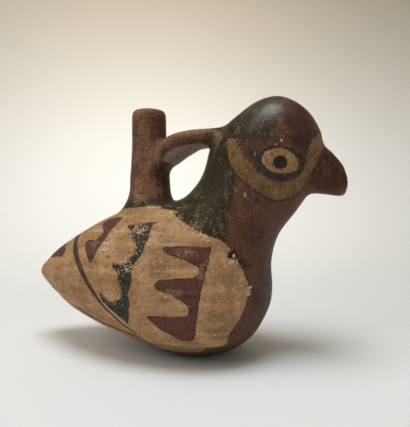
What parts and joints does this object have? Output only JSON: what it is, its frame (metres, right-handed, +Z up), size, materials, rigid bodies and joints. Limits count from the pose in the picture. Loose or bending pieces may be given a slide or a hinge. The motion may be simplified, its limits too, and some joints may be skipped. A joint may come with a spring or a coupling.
{
  "type": "bird effigy vase",
  "caption": "Hollow fired-clay vessel shaped as a sitting bird, with a spout on the back and a strap handle to the head.",
  "frame": {"origin": "on the flat spot under the belly that the vessel stands on, near the point below its weight", "axes": "+X towards the beak, +Y towards the bird's left side, +Z up along the spout"},
  "size_m": [0.2119, 0.1026, 0.1601],
  "materials": {
    "painted_clay": "burnished slip, satin, worn"
  },
  "bodies": {
    "root": {"bird_vase": "painted_clay"}
  },
  "joints": []
}
